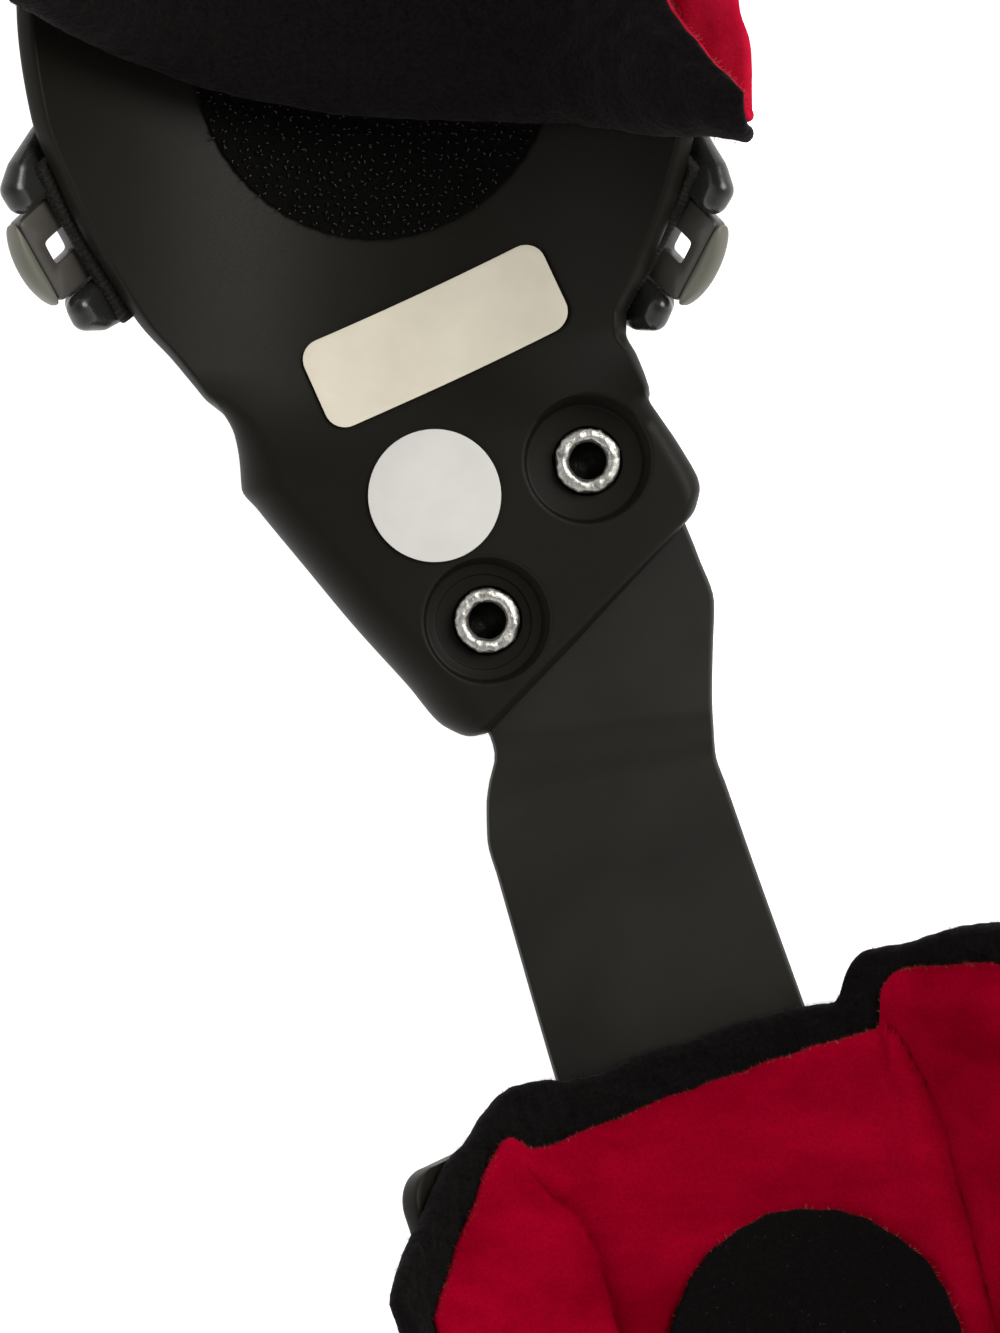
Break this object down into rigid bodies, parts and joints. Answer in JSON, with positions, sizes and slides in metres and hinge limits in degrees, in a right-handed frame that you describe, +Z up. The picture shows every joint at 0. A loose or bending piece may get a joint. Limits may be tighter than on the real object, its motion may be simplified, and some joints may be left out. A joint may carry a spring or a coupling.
{
  "type": "elbow brace",
  "caption": "Elbow brace: padded upper arm and forearm cuffs joined by a flat metal upright, with strap buckles and a folded-back liner.",
  "frame": {"origin": "on the upright's flat underside, just on the forearm side of its sideways step", "axes": "+Z up towards the arm, out of the cuffs; +Y along the upper arm, away from the elbow; the forearm cuff lies towards -Y, turned 18.7 degrees towards +X"},
  "size_m": [0.1794, 0.2986, 0.055],
  "materials": {
    "shell_plastic": "satin black moulded plastic",
    "upright": "dark brownish coated aluminium, satin",
    "rivet_steel": "worn bright metal",
    "loop_fabric": "black napped loop fabric on foam",
    "red_velour": "brushed red velour",
    "disc_fabric": "black felted disc",
    "hook_fabric": "black hook tape",
    "label_paper": "bare off-white label",
    "side_label_paper": "pale grey-white label",
    "webbing": "black woven webbing",
    "buckle_plastic": "dark grey glossy plastic",
    "hook_plastic": "lighter warm grey plastic"
  },
  "bodies": {
    "root": {"upper_shell": "shell_plastic", "lower_shell": "shell_plastic", "upright_bar": "upright", "tube_rivet_1": "rivet_steel", "tube_rivet_2": "rivet_steel", "shell_rivet_1": "rivet_steel", "shell_rivet_2": "rivet_steel", "upper_liner_base": "loop_fabric", "lower_liner_base": "loop_fabric", "upper_liner_face": "red_velour", "lower_liner_face": "red_velour", "lower_liner_disc": "disc_fabric", "hook_disc": "hook_fabric", "part_label": "label_paper", "side_label": "side_label_paper", "upper_strap": "webbing", "lower_strap": "webbing", "upper_buckle_left": "buckle_plastic", "upper_buckle_right": "buckle_plastic", "lower_buckle_left": "buckle_plastic", "lower_buckle_right": "buckle_plastic", "upper_hook_left": "hook_plastic", "upper_hook_right": "hook_plastic", "lower_hook_left": "hook_plastic", "lower_hook_right": "hook_plastic"}
  },
  "joints": []
}
